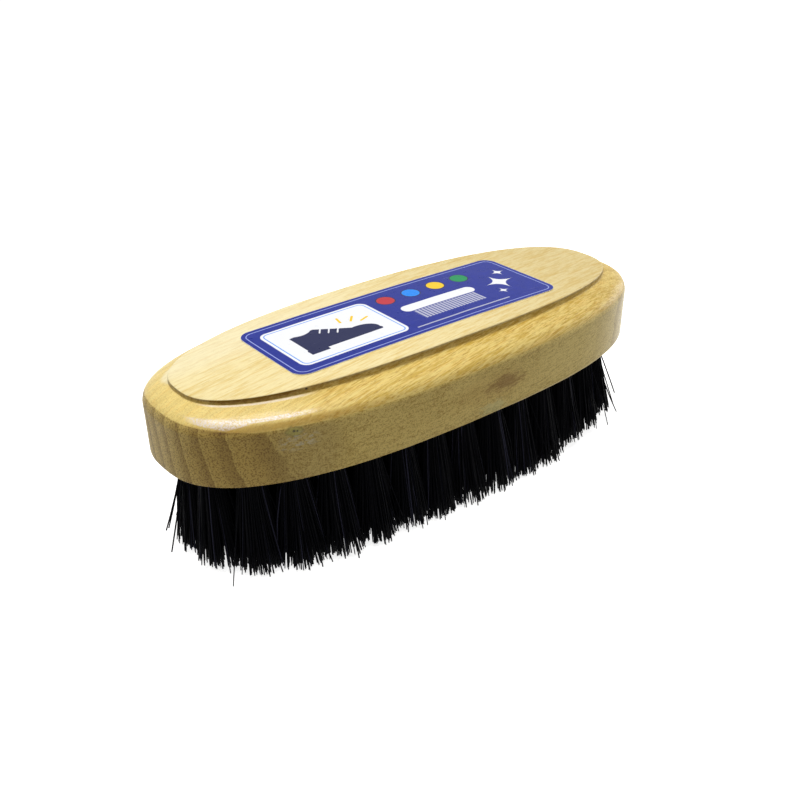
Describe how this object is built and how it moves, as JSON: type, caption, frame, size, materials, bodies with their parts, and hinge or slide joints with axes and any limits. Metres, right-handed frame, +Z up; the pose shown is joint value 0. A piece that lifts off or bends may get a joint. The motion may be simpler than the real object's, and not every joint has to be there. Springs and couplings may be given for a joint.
{
  "type": "shoe brush",
  "caption": "Oval shoe brush: a pale varnished wooden block with a stepped top and a printed label, and black bristle tufts fanning out below.",
  "frame": {"origin": "on the plane that the cut bristle tips rest on, below the middle of the block", "axes": "+X along the block's length, +Y across it, +Z up from the bristle tips through the block to the label"},
  "size_m": [0.15, 0.0606, 0.0489],
  "materials": {
    "wood": "clear satin varnish",
    "bristle": "black, slightly glossy strands",
    "label": "printed film, soft gloss"
  },
  "bodies": {
    "root": {"wood_block": "wood", "label": "label", "tuft_outer_01": "bristle", "tuft_outer_02": "bristle", "tuft_outer_03": "bristle", "tuft_outer_04": "bristle", "tuft_outer_05": "bristle", "tuft_outer_06": "bristle", "tuft_outer_07": "bristle", "tuft_outer_08": "bristle", "tuft_outer_09": "bristle", "tuft_outer_10": "bristle", "tuft_outer_11": "bristle", "tuft_outer_12": "bristle", "tuft_outer_13": "bristle", "tuft_outer_14": "bristle", "tuft_outer_15": "bristle", "tuft_outer_16": "bristle", "tuft_outer_17": "bristle", "tuft_outer_18": "bristle", "tuft_outer_19": "bristle", "tuft_outer_20": "bristle", "tuft_outer_21": "bristle", "tuft_outer_22": "bristle", "tuft_outer_23": "bristle", "tuft_outer_24": "bristle", "tuft_outer_25": "bristle", "tuft_outer_26": "bristle", "tuft_outer_27": "bristle", "tuft_outer_28": "bristle", "tuft_outer_29": "bristle", "tuft_outer_30": "bristle", "tuft_inner_01": "bristle", "tuft_inner_02": "bristle", "tuft_inner_03": "bristle", "tuft_inner_04": "bristle", "tuft_inner_05": "bristle", "tuft_inner_06": "bristle", "tuft_inner_07": "bristle", "tuft_inner_08": "bristle", "tuft_inner_09": "bristle", "tuft_inner_10": "bristle", "tuft_inner_11": "bristle", "tuft_inner_12": "bristle", "tuft_inner_13": "bristle", "tuft_inner_14": "bristle", "tuft_inner_15": "bristle", "tuft_inner_16": "bristle", "tuft_inner_17": "bristle", "tuft_inner_18": "bristle", "tuft_middle_01": "bristle", "tuft_middle_02": "bristle", "tuft_middle_03": "bristle", "tuft_middle_04": "bristle", "tuft_middle_05": "bristle", "tuft_middle_06": "bristle", "tuft_middle_07": "bristle", "tuft_middle_08": "bristle", "tuft_middle_09": "bristle"}
  },
  "joints": []
}
